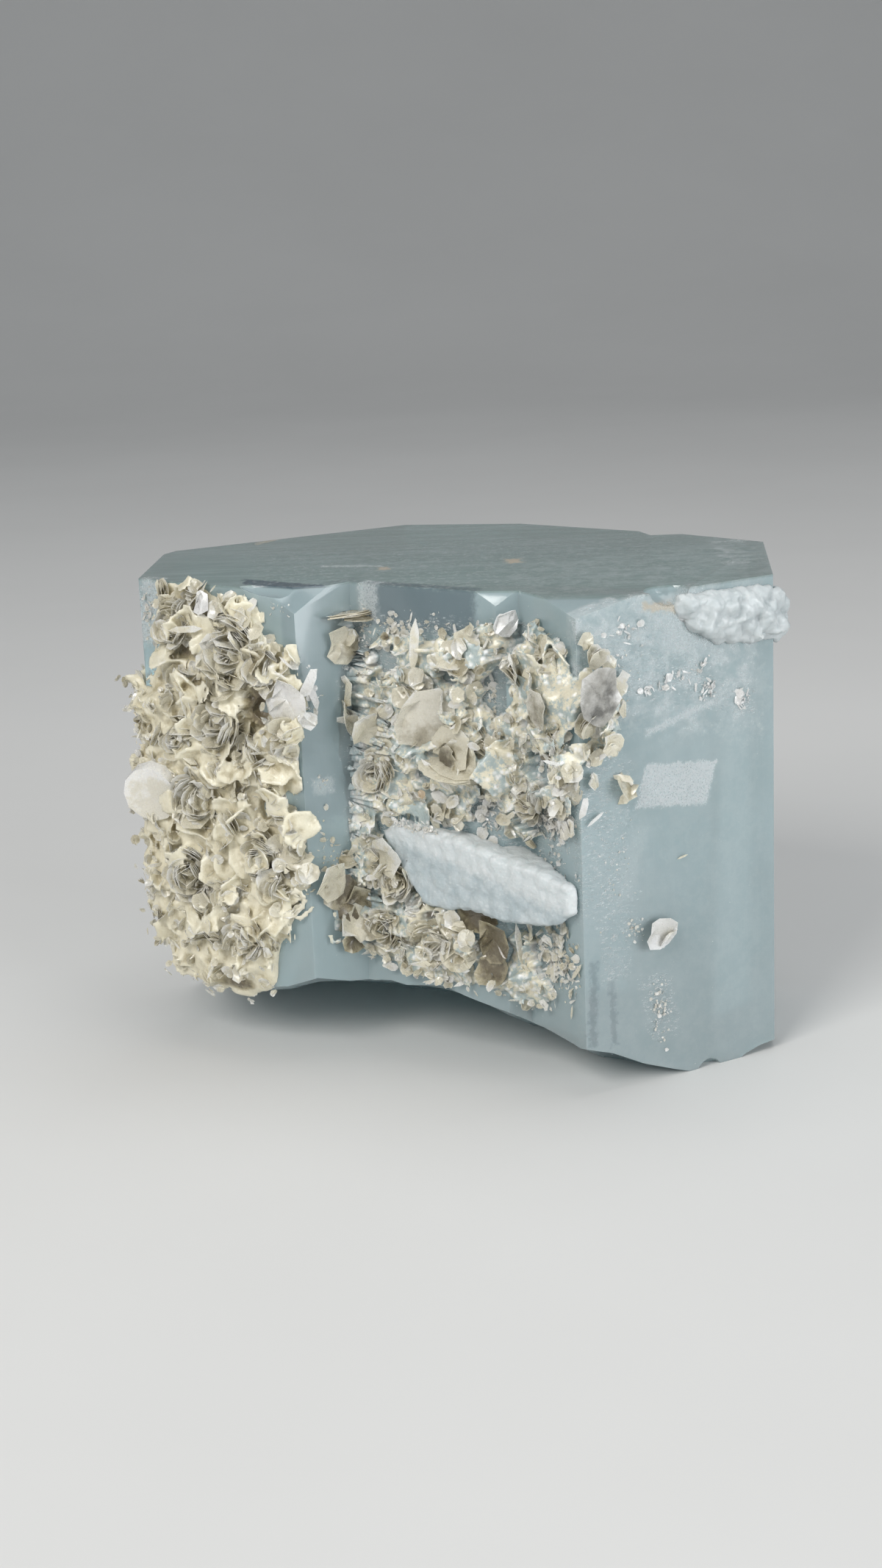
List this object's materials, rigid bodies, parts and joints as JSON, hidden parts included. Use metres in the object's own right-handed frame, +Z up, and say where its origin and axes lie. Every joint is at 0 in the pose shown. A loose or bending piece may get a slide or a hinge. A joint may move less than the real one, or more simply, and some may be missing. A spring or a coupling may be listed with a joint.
{
  "type": "aquamarine crystal specimen",
  "caption": "Pale blue six-sided aquamarine prism with a flat top and a broken base, its front faces covered with muscovite plates, a pale crystal and a white crust.",
  "frame": {"origin": "middle of the specimen's bounding box, at the flat of its broken base", "axes": "+Z up along the prism, -Y towards the mica-covered front faces, +X to the clean right face's far edge"},
  "size_m": [0.0612, 0.0466, 0.044],
  "materials": {
    "aquamarine": "pale blue clear beryl with glassy faces",
    "muscovite": "cream and silvery pearly mica plates",
    "pale_mineral": "bluish-white translucent crystal",
    "white_mineral": "white sugary crust"
  },
  "bodies": {
    "root": {"aquamarine_crystal": "aquamarine", "muscovite_left": "muscovite", "muscovite_centre": "muscovite", "muscovite_flake_upper": "muscovite", "muscovite_flake_lower": "muscovite", "pale_crystal": "pale_mineral", "white_crust": "white_mineral"}
  },
  "joints": []
}
